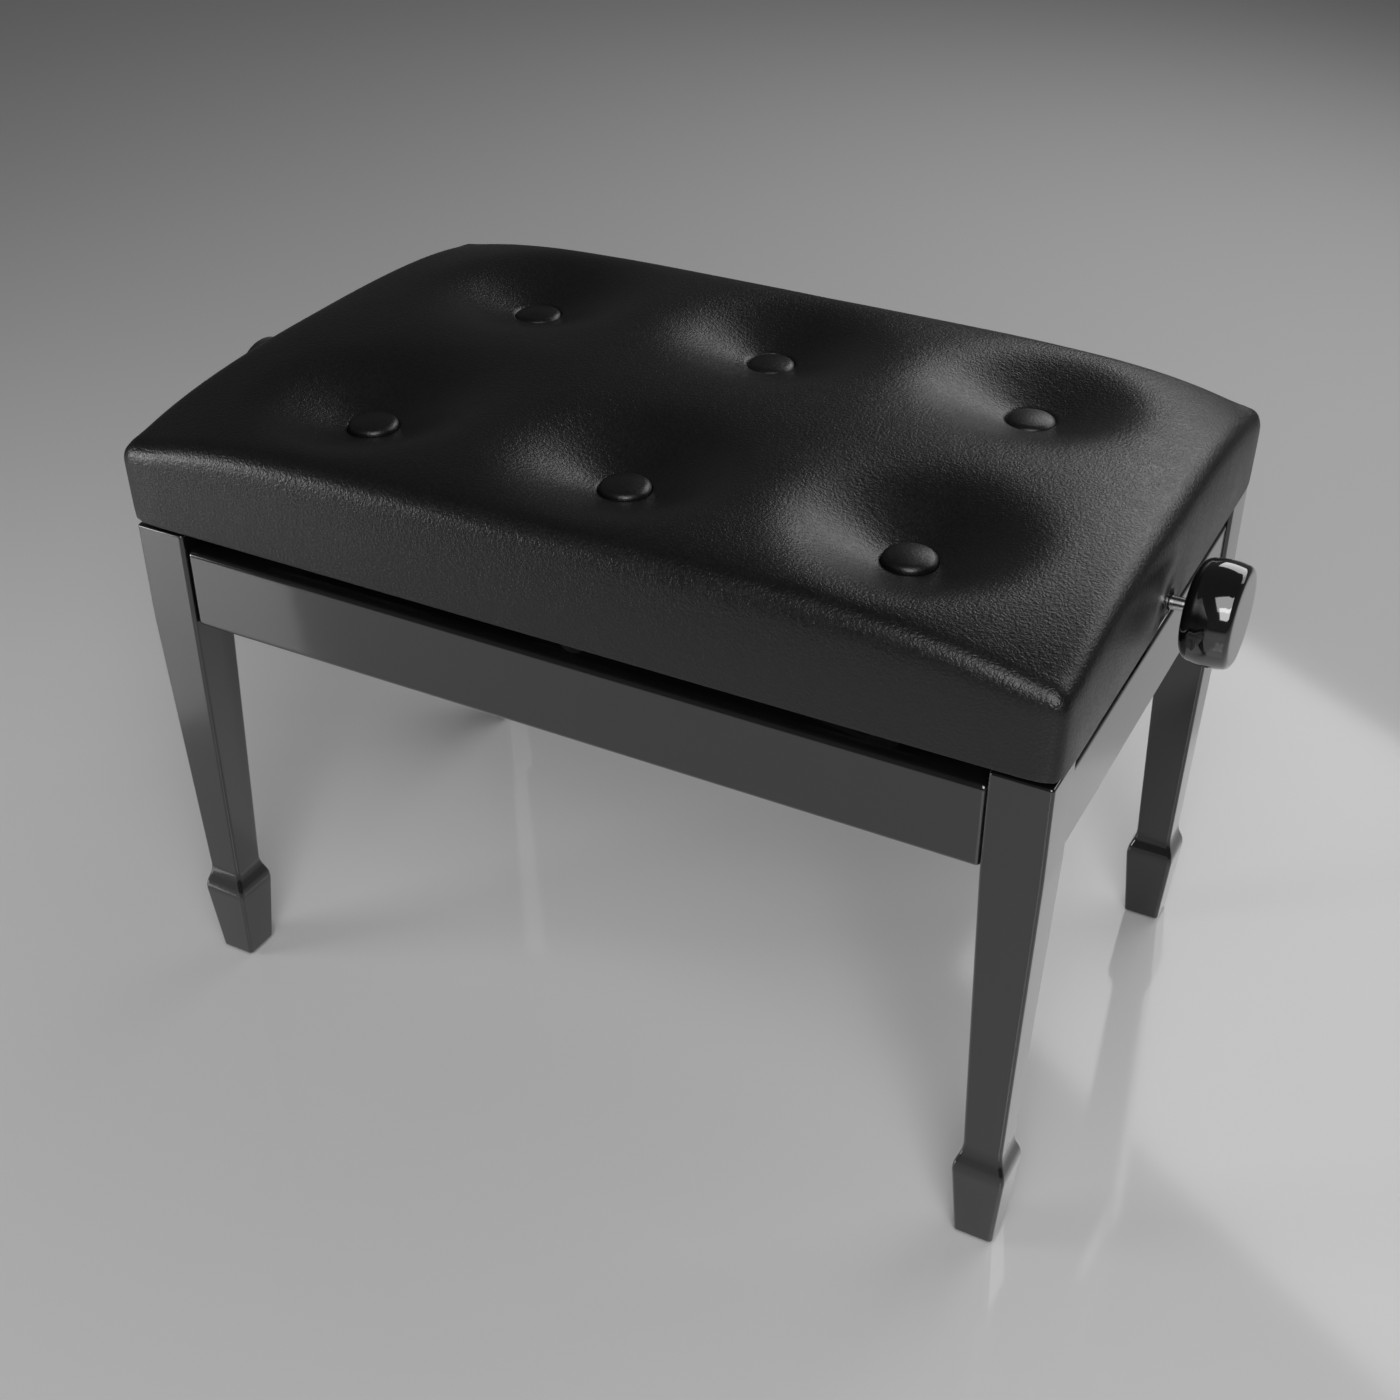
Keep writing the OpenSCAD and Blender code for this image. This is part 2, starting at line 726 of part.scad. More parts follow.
module knob(side_x) {
    color(lacquer) mirror([side_x < 0 ? 1 : 0, 0, 0])
        translate([knob_back, 0, screw_z]) rotate([0, 90, 0]) knob_form();
}

module knob_hubs() {
    color(brass) at_pivot(0, screw_z) for (s = [0, 1]) mirror([s, 0, 0]) difference() {
        along_x(knob_back, knob_back + knob_bore, hub_r);
        along_x(knob_back - 1, knob_back + knob_bore + 1, screw_r);
    }
}

// Seat

module seat_plan(z, h) {
    translate([0, 0, z]) linear_extrude(h) polygon(rounded(wood_hx, wood_hy, wood_corner_r));
}

module seat_frame_long(side_y) {
    color(beech) mirror([0, side_y < 0 ? 1 : 0, 0]) difference() {
        intersection() {
            seat_plan(wood_z, wood_h);
            translate([-wood_hx, rail_out, wood_z - 1]) cube([2 * wood_hx, wood_hy, wood_h + 2]);
        }
        deck_screw_places() deck_screw();
    }
}

module seat_frame_short(side_x) {
    color(beech) mirror([side_x < 0 ? 1 : 0, 0, 0]) difference() {
        translate([wood_hx - wood_t, -rail_out, wood_z]) cube([wood_t, 2 * rail_out, wood_h]);
        at_pivot(0, screw_z) along_x(wood_hx - wood_t - 1, wood_hx + 1, bush_r);
        deck_screw_places() deck_screw();
    }
}

module seat_deck() {
    color(plywood) difference() {
        seat_plan(deck_z, deck_t);
        deck_screw_places() deck_screw();
        each_button() translate([0, 0, deck_z - 1]) cylinder(h = deck_t + 2, r = shank_r + shank_play);
        front_and_back() seat_screw_places()
            translate([0, 0, -1]) cylinder(h = wood_screw_grip + 1, r = wood_screw_r);
    }
}

module deck_screw_places() {
    mid_y = (rail_out + wood_hy) / 2;
    mid_x = wood_hx - wood_t / 2;
    for (x = [-1, 0, 1] * deck_screw_pitch, y = [-mid_y, mid_y]) translate([x, y, deck_top]) children();
    for (x = [-mid_x, mid_x], s = [-1, 1]) translate([x, s * deck_screw_rows / 2, deck_top]) children();
}

// Countersunk screw whose head is flush at height 0
module deck_screw() {
    translate([0, 0, -deck_screw_l]) cylinder(h = deck_screw_l, r = wood_screw_r);
    translate([0, 0, -wood_cone_h]) cylinder(h = wood_cone_h, r1 = wood_screw_r, r2 = wood_head_r);
}

module deck_screws() {
    color(zinc) deck_screw_places() deck_screw();
}

// Height of the cushion's top, before its tufts
function top_z(x, y) =
    let (u = abs(x) / rim_hx, v = abs(y) / rim_hy)
        crown_z - edge_drop * (pow(u, 8) + pow(v, 8)) - corner_drop * pow(u, 10) * pow(v, 5);

// Points between two corners, closer together near the corners
function between(a, b, n) = [for (i = [1:n - 1]) a + (b - a) * (1 - cos(180 * i / n)) / 2];

function cushion_ring(hx, hy, r) =
    let (long = 12, short = 8, c = rounded(hx, hy, r), n = len(c) / 4)
        [for (q = [0:3]) each concat(
            [for (i = [0:n - 1]) c[q * n + i]],
            between(c[q * n + n - 1], c[((q + 1) * n) % (4 * n)], q % 2 == 0 ? long : short)
        )];

function wall_ring(hx, hy, z) = at_height(cushion_ring(hx, hy, seat_corner_r), z);

// Ring on the cushion's top, at an inset from the rim and a drop below its top
function top_ring(inset, drop, grow) = [
    for (p = cushion_ring(rim_hx - inset + grow, rim_hy - inset + grow, max(seat_corner_r - inset, 2)))
        [p[0], p[1], top_z(p[0], p[1]) - drop + grow]
];

// The cushion's outer form, grown by a distance on all sides
module cushion_form(grow) {
    top_steps = [16, 38, 70, 115, rim_hy - roll_r - 20];
    edge = max(seat_edge + grow, stuffing_gap / 2);
    loft(concat(
        [wall_ring(seat_hx - edge + grow, seat_hy - edge + grow, seat_z - grow)],
        [wall_ring(seat_hx + grow, seat_hy + grow, seat_z + edge - grow)],
        [for (a = [0:22.5:90]) top_ring(roll_r * (1 - cos(a)), roll_r * (1 - sin(a)), grow)],
        [for (step = top_steps) top_ring(roll_r + step, 0, grow)]
    ));
}

module each_button() {
    for (x = button_x, y = button_y) translate([x, y, 0]) children();
}

// Bell-shaped hollow that a button pulls into the cushion, grown by a distance
module tuft(grow) {
    steps = 10;
    spare = 0.5;
    pocket = button_r + tuft_gap;
    translate([0, 0, tuft_z - grow]) rotate_extrude() polygon(concat(
        [[0, 0], [pocket + grow, 0]],
        [
            for (i = [0:steps])
                let (t = i / steps, bell = 1 - pow(1 - t, 3) * (1 + 2 * t))
                    [pocket + grow + (tuft_r - pocket) * t, tuft_lip + (tuft_depth - tuft_lip + spare) * bell]
        ],
        [[tuft_r + grow, 2 * tuft_depth], [0, 2 * tuft_depth]]
    ));
}

module stuffing(grow) {
    difference() {
        cushion_form(grow);
        each_button() tuft(-grow);
    }
}

module foam_pad() {
    color(foam) difference() {
        stuffing(-cover_t - stuffing_gap);
        translate([-frame_l, -frame_w, 0]) cube([2 * frame_l, 2 * frame_w, deck_top]);
        each_button() translate([0, 0, deck_top - 1]) cylinder(h = cushion_h, r = shank_r + shank_play);
    }
}

module seat_cover() {
    hole_z = screw_z + rod_hole_rise;
    color(leather) difference() {
        stuffing(0);
        stuffing(-cover_t);
        translate([-seat_hx + hem_w, -seat_hy + hem_w, seat_z - 1])
            cube([2 * (seat_hx - hem_w), 2 * (seat_hy - hem_w), cover_t + 2]);
        at_pivot(0, hole_z) along_x(-frame_l, frame_l, rod_hole_r);
        each_button()
            translate([0, 0, tuft_z - 2 * cover_t]) cylinder(h = 3 * cover_t, r = shank_r + shank_play);
    }
}

module cover_buttons() {
    edge = button_edge;
    shank_end = deck_z - anchor_t - shank_tail;
    color(leather) each_button() {
        translate([0, 0, tuft_z]) rotate_extrude() polygon(concat(
            [[0, 0]],
            arc(button_r - edge, edge, edge, -90, 0),
            [for (a = [80:-10:0]) [button_r * sin(a), edge + (button_h - edge) * cos(a)]]
        ));
        translate([0, 0, shank_end]) cylinder(h = tuft_z + edge - shank_end, r = shank_r);
    }
}

module button_anchors() {
    color(zinc) each_button() translate([0, 0, deck_z - anchor_t]) difference() {
        cylinder(h = anchor_t, r = anchor_r);
        translate([0, 0, -1]) cylinder(h = anchor_t + 2, r = shank_r + press_play);
    }
}

module rod_bushes() {
    inner_x = wood_hx - wood_t;
    color(nylon) at_pivot(0, screw_z) for (s = [0, 1]) mirror([s, 0, 0]) difference() {
        union() {
            along_x(inner_x, wood_hx, bush_r);
            along_x(inner_x - bush_flange_t, inner_x, bush_flange_r);
        }
        along_x(inner_x - bush_flange_t - 1, wood_hx + 1, screw_r + fit);
    }
}

leg(-1, -1);  // leg_front_left
leg(1, -1);  // leg_front_right
leg(-1, 1);  // leg_back_left
leg(1, 1);  // leg_back_right
apron_long(-1);  // apron_front
apron_long(1);  // apron_back
apron_short(-1);  // apron_left
apron_short(1);  // apron_right
apron_dowels();
corner_block(-1, -1);  // corner_block_front_left
corner_block(1, -1);  // corner_block_front_right
corner_block(-1, 1);  // corner_block_back_left
corner_block(1, 1);  // corner_block_back_right
corner_bolts();
corner_nuts();
foot_glides();
base_rail(-1);  // base_rail_front
base_rail(1);  // base_rail_back
base_rail_screws();
base_pivot_rod();
base_pivot_washers();
outer_arm(-1);  // outer_arm_front
outer_arm(1);  // outer_arm_back
centre_rivets();
centre_washers();
inner_arm(-1);  // inner_arm_front
inner_arm(1);  // inner_arm_back
slide_rod();
slide_rollers();
slide_sleeves();
seat_frame_long(-1);  // seat_frame_front
seat_frame_long(1);  // seat_frame_back
seat_frame_short(-1);  // seat_frame_left
seat_frame_short(1);  // seat_frame_right
seat_deck();
deck_screws();
foam_pad();
seat_cover();
cover_buttons();
button_anchors();
seat_rail(-1);  // seat_rail_front
seat_rail(1);  // seat_rail_back
seat_rail_screws();
bearing_bar();
bearing_sleeves();
rod_bushes();
nut_bar();
nut_insert();
nut_bar_rollers();
nut_bar_washers();
screw_rod();
thrust_collars();
collar_screws();
knob(-1);  // knob_left
knob(1);  // knob_right
knob_hubs();
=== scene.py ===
import math

import bmesh
import bpy
from mathutils import Matrix, Vector


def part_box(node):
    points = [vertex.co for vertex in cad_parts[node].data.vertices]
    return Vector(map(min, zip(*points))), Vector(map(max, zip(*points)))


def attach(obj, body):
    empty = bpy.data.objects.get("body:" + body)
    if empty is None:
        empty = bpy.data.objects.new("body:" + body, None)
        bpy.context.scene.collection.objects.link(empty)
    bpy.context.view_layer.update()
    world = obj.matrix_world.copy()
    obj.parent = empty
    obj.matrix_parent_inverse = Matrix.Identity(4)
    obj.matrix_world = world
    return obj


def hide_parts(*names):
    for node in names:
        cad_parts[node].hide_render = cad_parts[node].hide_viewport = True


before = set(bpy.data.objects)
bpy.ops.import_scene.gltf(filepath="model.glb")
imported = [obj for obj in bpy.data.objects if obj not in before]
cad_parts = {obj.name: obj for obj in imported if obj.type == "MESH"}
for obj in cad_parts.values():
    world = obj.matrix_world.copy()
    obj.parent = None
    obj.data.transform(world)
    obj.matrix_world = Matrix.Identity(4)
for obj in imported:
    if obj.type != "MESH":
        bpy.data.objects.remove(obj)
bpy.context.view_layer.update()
print("the packed frame is loaded")

# Camera, floor and light

camera = {
    "place": (0.5000, -0.9500, 0.9151), "tilt": 56.16, "turn": 27.84,  # metres and degrees
    "lens": 49.8, "sensor": 36.0, "farthest": 60.0,
}
floor = {"half": 14.0, "grey": 0.74, "polish": 0.07}
lamps = {
    "panel": {
        "place": (0.375, 1.832, 1.49), "aim": (-0.514, 0.406, 0.401), "size": (1.7, 0.92), "power": 12.0,
    },
    "backRight": {"place": (1.2, 1.0, 1.3), "aim": (0.25, 0.0, 0.4), "size": (0.6, 0.8), "power": 2.2},
    "left": {"place": (-1.3, -1.0, 0.45), "aim": (0.0, 0.0, 0.2), "size": (0.6, 0.5), "power": 6.5},
    "key": {"place": (0.7, -1.3, 2.0), "aim": (0.0, 0.0, 0.2), "size": (1.2, 1.2), "power": 14.0},
    "front": {"place": (1.0, -1.8, 1.5), "aim": (0.0, 0.0, 0.2), "size": (1.0, 1.0), "power": 17.0},
}
sky = {"low": 0.085, "high": 0.05, "from": -0.1, "to": 0.8, "shown": 0.14}  # light low down and high up


def addCamera():
    data = bpy.data.cameras.new("camera")
    data.lens = camera["lens"]
    data.sensor_width = camera["sensor"]
    data.clip_end = camera["farthest"]
    obj = bpy.data.objects.new("camera", data)
    obj.location = camera["place"]
    obj.rotation_euler = (math.radians(camera["tilt"]), 0.0, math.radians(camera["turn"]))
    bpy.context.scene.collection.objects.link(obj)
    bpy.context.scene.camera = obj


def addLamp(name, place, aim, size, power):
    data = bpy.data.lights.new(name, "AREA")
    data.shape = "RECTANGLE"
    data.size, data.size_y = size
    data.energy = power
    obj = bpy.data.objects.new(name, data)
    obj.location = place
    obj.rotation_euler = (Vector(aim) - Vector(place)).to_track_quat("-Z", "Y").to_euler()
    obj.visible_camera = False
    bpy.context.scene.collection.objects.link(obj)


# Shader maths


class Wire:  # one output socket; arithmetic on it adds Math nodes
    def __init__(self, finish, socket):
        self.finish = finish
        self.socket = socket

    def __add__(self, other):
        return self.finish.maths("ADD", self, other)

    def __sub__(self, other):
        return self.finish.maths("SUBTRACT", self, other)

    def __rsub__(self, other):
        return self.finish.maths("SUBTRACT", other, self)

    def __mul__(self, other):
        return self.finish.maths("MULTIPLY", self, other)

    __radd__ = __add__
    __rmul__ = __mul__


class Finish:  # one procedural material round a Principled shader; its colours are linear
    def __init__(self, name, **sockets):
        self.material = bpy.data.materials.new(name)
        self.material.use_nodes = True
        self.nodes = self.material.node_tree.nodes
        self.shader = self.nodes["Principled BSDF"]
        self.place = self.node("TexCoord", output="Object")
        self.set(**sockets)

    def node(self, kind, settings=None, inputs=None, output=0):
        made = self.nodes.new("ShaderNode" + kind)
        for name, value in (settings or {}).items():
            setattr(made, name, value)
        for name, value in (inputs or {}).items():
            self.feed(made.inputs[name], value)
        return Wire(self, made.outputs[output])

    def feed(self, socket, value):
        if isinstance(value, Wire):
            self.material.node_tree.links.new(value.socket, socket)
        else:
            socket.default_value = value

    def set(self, **sockets):
        for name, value in sockets.items():
            self.feed(self.shader.inputs[name.replace("_", " ")], value)

    def maths(self, operation, a, b=0.0):
        return self.node("Math", {"operation": operation}, {0: a, 1: b})

    def stretched(self, x, y, z):  # a small number draws the pattern out along that way
        return self.node("Mapping", None, {"Vector": self.place, "Scale": (x, y, z)})

    def noise(self, scale, detail=2.0, rough=0.5, at=None, output="Fac"):
        inputs = {"Vector": at or self.place, "Scale": scale, "Detail": detail, "Roughness": rough}
        return self.node("TexNoise", None, inputs, output)

    def cells(self, scale, at=None, feature="F1", output="Distance"):
        inputs = {"Vector": at or self.place, "Scale": scale}
        return self.node("TexVoronoi", {"feature": feature}, inputs, output)

    def ease(self, value, low, high, start=0.0, end=1.0):
        inputs = {"Value": value, "From Min": low, "From Max": high, "To Min": start, "To Max": end}
        return self.node("MapRange", {"interpolation_type": "SMOOTHSTEP"}, inputs)

    def blend(self, factor, a, b):
        return self.node("Mix", {"data_type": "RGBA"}, {0: factor, 6: a, 7: b}, 2)

    def nudged(self, amount, scale):  # places pushed about, so that cells lose their straight sides
        swirl = self.noise(scale, 1.0, output="Color")
        moved = self.node("VectorMath", {"operation": "SUBTRACT"}, {0: swirl, 1: (0.5, 0.5, 0.5)})
        moved = self.node("VectorMath", {"operation": "SCALE"}, {0: moved, "Scale": amount})
        return self.node("VectorMath", {"operation": "ADD"}, {0: self.place, 1: moved})

    def bump(self, height, distance, strength=1.0, under=None):
        inputs = {"Height": height, "Distance": distance, "Strength": strength}
        if under:
            inputs["Normal"] = under
        return self.node("Bump", None, inputs)


def grey(value, tint=1.0):
    return (value, value, value * tint, 1.0)


# Finishes


def leatherFinish(name, depth):  # depth 1 is the loose cover, less where it is pulled tight
    made = Finish(name, Specular_IOR_Level=0.55)
    loose = made.nudged(0.0020, 190.0)
    pebble = made.ease(made.cells(400.0, loose, "DISTANCE_TO_EDGE"), 0.0, 0.26)
    wrinkle = made.ease(made.noise(430.0, 2.0, 0.55, loose), 0.40, 0.60)
    pore = made.noise(1300.0, 1.0)
    soft = made.noise(48.0, 3.0)
    grain = pebble * 0.5 + wrinkle * 0.5 + pore * 0.12
    # painted shade: the base colour is darker in the creases between the grain's pebbles and lighter on
    # their tops
    creaseShadedDye = made.blend(pebble, grey(0.003, 1.03), grey(0.0055, 1.04))
    wear = made.ease(made.noise(9.0, 4.0, 0.6), 0.35, 0.75)
    made.set(
        Base_Color=made.blend(wear * 0.35, creaseShadedDye, grey(0.009, 1.04)),
        Roughness=0.385 - wrinkle * 0.05 + (soft - 0.5) * 0.10,
        Normal=made.bump(grain, 0.00016 * depth, 0.8, made.bump(soft, 0.0009, 0.22 * depth)),
    )
    return made.material


def lacquerFinish():
    made = Finish("pianoLacquer", Coat_Weight=1.0, Coat_Roughness=0.03, Coat_IOR=1.6, IOR=1.5)
    haze = made.noise(38.0, 4.0, 0.6)
    peel = made.noise(420.0, 1.0)
    wipe = made.noise(60.0, 3.0, at=made.stretched(1.0, 1.0, 0.12))
    made.set(
        Base_Color=made.blend(haze, grey(0.0045, 1.05), grey(0.0075, 1.05)),
        Roughness=0.13 + (haze - 0.5) * 0.05 + (wipe - 0.5) * 0.03,
        Normal=made.bump(peel, 0.00003, 0.25),
    )
    return made.material


def knobFinish():
    made = Finish("mouldedKnob", Coat_Weight=1.0, Coat_Roughness=0.015, Coat_IOR=1.6)
    haze = made.noise(90.0, 3.0)
    made.set(
        Base_Color=made.blend(haze, grey(0.004, 1.03), grey(0.007, 1.03)),
        Roughness=0.06 + haze * 0.05,
        Normal=made.bump(made.noise(160.0, 1.0), 0.00002, 0.2),
    )
    return made.material


def brightFinish():
    made = Finish("brightSteel", Metallic=1.0)
    turned = made.noise(2200.0, 2.0, at=made.stretched(1.0, 0.05, 0.05))
    smear = made.noise(45.0, 3.0)
    made.set(
        Base_Color=made.blend(smear, (0.62, 0.63, 0.65, 1.0), (0.78, 0.78, 0.79, 1.0)),
        Roughness=0.14 + turned * 0.10 + (smear - 0.5) * 0.06,
        Normal=made.bump(turned, 0.00003, 0.3),
    )
    return made.material


def zincFinish():
    made = Finish("zincPlate", Metallic=1.0)
    flake = made.cells(260.0, made.nudged(0.002, 120.0), output="Color")
    tone = made.noise(70.0, 4.0, 0.6)
    made.set(
        Base_Color=made.blend(tone, (0.50, 0.52, 0.55, 1.0), (0.68, 0.67, 0.62, 1.0)),
        Roughness=0.30 + flake * 0.10 + (tone - 0.5) * 0.1,
        Normal=made.bump(made.noise(900.0, 2.0), 0.00003, 0.3),
    )
    return made.material


def paintFinish():
    made = Finish("satinBlackPaint", Specular_IOR_Level=0.5)
    peel = made.noise(520.0, 2.0)
    dust = made.noise(24.0, 5.0, 0.65)
    rub = made.ease(made.noise(140.0, 5.0, 0.7), 0.66, 0.74)
    made.set(
        Base_Color=made.blend(rub * 0.5, made.blend(dust, grey(0.007), grey(0.013)), grey(0.06)),
        Metallic=rub * 0.4,
        Roughness=0.38 + (dust - 0.5) * 0.2 - rub * 0.08,
        Normal=made.bump(peel, 0.00006, 0.5),
    )
    return made.material


def nylonFinish():
    made = Finish("blackNylon")
    tone = made.noise(80.0, 3.0)
    made.set(
        Base_Color=made.blend(tone, grey(0.012), grey(0.022)),
        Roughness=0.42 + tone * 0.12,
        Normal=made.bump(made.noise(700.0, 2.0), 0.00004, 0.3),
    )
    return made.material


def brassFinish():
    made = Finish("turnedBrass", Metallic=1.0)
    lines = made.noise(3000.0, 1.0, at=made.stretched(1.0, 0.05, 0.05))
    tone = made.noise(60.0, 4.0, 0.6)
    made.set(
        Base_Color=made.blend(tone, (0.56, 0.38, 0.14, 1.0), (0.74, 0.55, 0.26, 1.0)),
        Roughness=0.24 + lines * 0.12,
        Normal=made.bump(lines, 0.00004, 0.4),
    )
    return made.material


def woodFinish(name, along, tones, rings, sheen):
    made = Finish(name, Specular_IOR_Level=0.25)
    pale, dark = tones
    squeeze = [0.07 if way == along else 1.0 for way in "xyz"]
    grown = made.stretched(*squeeze)
    broad = made.noise(rings, 4.0, 0.55, grown)
    lines = made.noise(rings * 9.0, 3.0, 0.6, grown)
    longer = made.stretched(*[s * s for s in squeeze])
    pores = made.ease(made.noise(rings * 26.0, 2.0, 0.5, longer), 0.62, 0.70)
    tone = made.ease(broad, 0.3, 0.7) * 0.6 + lines * 0.4
    poreTone = [c * 0.45 for c in dark[:3]] + [1.0]
    made.set(
        Base_Color=made.blend(pores * 0.5, made.blend(tone, pale, dark), poreTone),
        Roughness=sheen + lines * 0.18,
        Normal=made.bump(lines + pores * -0.6, 0.00012, 0.5),
    )
    return made.material


addCamera()
for lampName, lamp in lamps.items():
    addLamp(lampName, **lamp)

stain = ((0.0075, 0.0068, 0.0062, 1.0), (0.0040, 0.0038, 0.0036, 1.0))
plyStain = ((0.0110, 0.0098, 0.0088, 1.0), (0.0060, 0.0055, 0.0050, 1.0))
finishes = {
    "leather": leatherFinish("grainedLeather", 1.0),
    "buttonLeather": leatherFinish("stretchedLeather", 0.35),
    "lacquer": lacquerFinish(),
    "knob": knobFinish(),
    "bright": brightFinish(),
    "zinc": zincFinish(),
    "paint": paintFinish(),
    "nylon": nylonFinish(),
    "brass": brassFinish(),
    "stainLong": woodFinish("stainedAlongX", "x", stain, 42.0, 0.5),
    "stainShort": woodFinish("stainedAlongY", "y", stain, 42.0, 0.5),
    "stainUp": woodFinish("stainedUpright", "z", stain, 46.0, 0.52),
    "plywood": woodFinish("stainedPlywood", "x", plyStain, 16.0, 0.6),
}
print("camera, lamps and finishes are ready")


def addFloor():
    bm = bmesh.new()
    bmesh.ops.create_grid(bm, x_segments=1, y_segments=1, size=floor["half"])
    mesh = bpy.data.meshes.new("floor")
    bm.to_mesh(mesh)
    bm.free()
    obj = bpy.data.objects.new("floor", mesh)
    bpy.context.scene.collection.objects.link(obj)
    made = Finish("paleFloor", Specular_IOR_Level=0.5)
    cloud = made.noise(0.7, 2.0)
    made.set(
        Base_Color=made.blend(cloud, grey(floor["grey"] * 0.98), grey(floor["grey"] * 1.02)),
        Roughness=floor["polish"] + cloud * 0.02,
    )
    mesh.materials.append(made.material)


def addSky():
    world = bpy.data.worlds.new("sky")
    bpy.context.scene.world = world
    world.use_nodes = True
    nodes, links = world.node_tree.nodes, world.node_tree.links
    place = nodes.new("ShaderNodeTexCoord")
    split = nodes.new("ShaderNodeSeparateXYZ")
    fade = nodes.new("ShaderNodeMapRange")
    fade.inputs["From Min"].default_value = sky["from"]
    fade.inputs["From Max"].default_value = sky["to"]
    fade.inputs["To Min"].default_value = sky["low"]
    fade.inputs["To Max"].default_value = sky["high"]
    path = nodes.new("ShaderNodeLightPath")
    choose = nodes.new("ShaderNodeMix")  # what the camera sees of it stays even
    choose.inputs[3].default_value = sky["shown"]
    links.new(place.outputs["Generated"], split.inputs[0])
    links.new(split.outputs["Z"], fade.inputs["Value"])
    links.new(path.outputs["Is Camera Ray"], choose.inputs[0])
    links.new(fade.outputs[0], choose.inputs[2])
    links.new(choose.outputs[0], nodes["Background"].inputs["Color"])


addFloor()
addSky()


# Pieces


def makePiece(name, bm, body, finish, replaced, sharp=None, evened=False):
    mesh = bpy.data.meshes.new(name)
    bm.to_mesh(mesh)
    bm.free()
    mesh.materials.append(finishes[finish])
    mesh.shade_smooth()
    if sharp:
        mesh.set_sharp_from_angle(angle=math.radians(sharp))
    piece = bpy.data.objects.new(name, mesh)
    bpy.context.scene.collection.objects.link(piece)
    if evened:
        piece.modifiers.new("evenFaces", "WEIGHTED_NORMAL").keep_sharp = True
    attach(piece, body)
    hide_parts(*replaced)
    return piece


def bevelled(bm, edges, width, segments):
    bmesh.ops.bevel(
        bm, geom=edges, offset=width, segments=segments, profile=0.5, affect="EDGES", material=-1,
        clamp_overlap=True,
    )


def turnedOn(bm, outline, steps, turn):  # a turned solid: its outline is radius and height, foot first
    verts = [bm.verts.new((r, 0.0, h)) for r, h in outline]
    edges = [bm.edges.new(pair) for pair in zip(verts, verts[1:])]
    bmesh.ops.spin(
        bm, geom=verts + edges, cent=(0, 0, 0), axis=(0, 0, 1), dvec=(0, 0, 0), angle=math.tau,
        steps=steps, use_merge=True, use_normal_flip=False, use_duplicate=False,
    )
    bmesh.ops.remove_doubles(bm, verts=bm.verts, dist=1e-6)
    bmesh.ops.recalc_face_normals(bm, faces=bm.faces)
    bmesh.ops.transform(bm, matrix=turn, verts=bm.verts)


def addPart(bm, part):  # one more solid in the same piece
    scratch = bpy.data.meshes.new("part")
    part.to_mesh(scratch)
    part.free()
    bm.from_mesh(scratch)
    bpy.data.meshes.remove(scratch)


# Legs

leg = {  # widths across the flats, heights from the floor
    "foot": 0.0244, "knee": 0.0330, "neck": 0.024,
    "kneeHeight": 0.059, "neckHeight": 0.071, "taperTop": 0.279,
    "ease": 0.0054, "easeSteps": 7, "longEdge": 0.0024, "endEdge": 0.0016,
}


def easedProfile(points, ease, steps):  # a short curve at each inner corner
    profile = [points[0]]
    for before, corner, after in zip(points, points[1:], points[2:]):
        a, b, c = Vector(before), Vector(corner), Vector(after)
        start = b + (a - b).normalized() * ease
        end = b + (c - b).normalized() * ease
        for i in range(steps + 1):
            t = i / steps
            profile.append(tuple((1 - t) ** 2 * start + 2 * t * (1 - t) * b + t * t * end))
    return profile + [points[-1]]


def makeLeg(node):
    low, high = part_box(node)
    centre = Vector(((low.x + high.x) / 2, (low.y + high.y) / 2, 0.0))
    side = high.x - low.x
    corners = [
        (leg["foot"], low.z), (leg["knee"], leg["kneeHeight"]), (leg["neck"], leg["neckHeight"]),
        (side, leg["taperTop"]), (side, high.z),
    ]
    profile = easedProfile(corners, leg["ease"], leg["easeSteps"])
    bm = bmesh.new()
    footWide, footHigh = profile[0]
    bmesh.ops.create_grid(bm, x_segments=1, y_segments=1, size=0.5)
    bmesh.ops.scale(bm, vec=(footWide, footWide, 1.0), verts=bm.verts)
    bmesh.ops.translate(bm, vec=(0, 0, footHigh), verts=bm.verts)
    top = bm.faces[:]
    for (wasWide, wasHigh), (wide, height) in zip(profile, profile[1:]):
        grown = bmesh.ops.extrude_face_region(bm, geom=top)["geom"]
        if wasHigh > footHigh:  # the foot keeps its sole, the steps above it don't
            bmesh.ops.delete(bm, geom=top, context="FACES_ONLY")
        verts = [g for g in grown if isinstance(g, bmesh.types.BMVert)]
        top = [g for g in grown if isinstance(g, bmesh.types.BMFace)]
        bmesh.ops.scale(bm, vec=(wide / wasWide, wide / wasWide, 1.0), verts=verts)
        bmesh.ops.translate(bm, vec=(0, 0, height - wasHigh), verts=verts)
    bmesh.ops.recalc_face_normals(bm, faces=bm.faces)
    upright = [e for e in bm.edges if abs(e.verts[0].co.z - e.verts[1].co.z) > 1e-6]
    bevelled(bm, upright, leg["longEdge"], 4)
    ends = [f for f in bm.faces if abs(f.normal.z) > 0.99]
    bevelled(bm, list({e for f in ends for e in f.edges}), leg["endEdge"], 3)
    bmesh.ops.translate(bm, vec=centre, verts=bm.verts)
    makePiece("lacquered_" + node, bm, "base", "lacquer", [node], evened=True)


# Aprons

apron = {"edge": 0.0036, "segments": 6}


def makeApron(node):
    low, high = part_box(node)
    bm = bmesh.new()
    place = Matrix.Translation((low + high) / 2) @ Matrix.Diagonal(high - low).to_4x4()
    bmesh.ops.create_cube(bm, size=1.0, matrix=place)
    bevelled(bm, bm.edges[:], apron["edge"], apron["segments"])
    makePiece("lacquered_" + node, bm, "base", "lacquer", [node], evened=True)


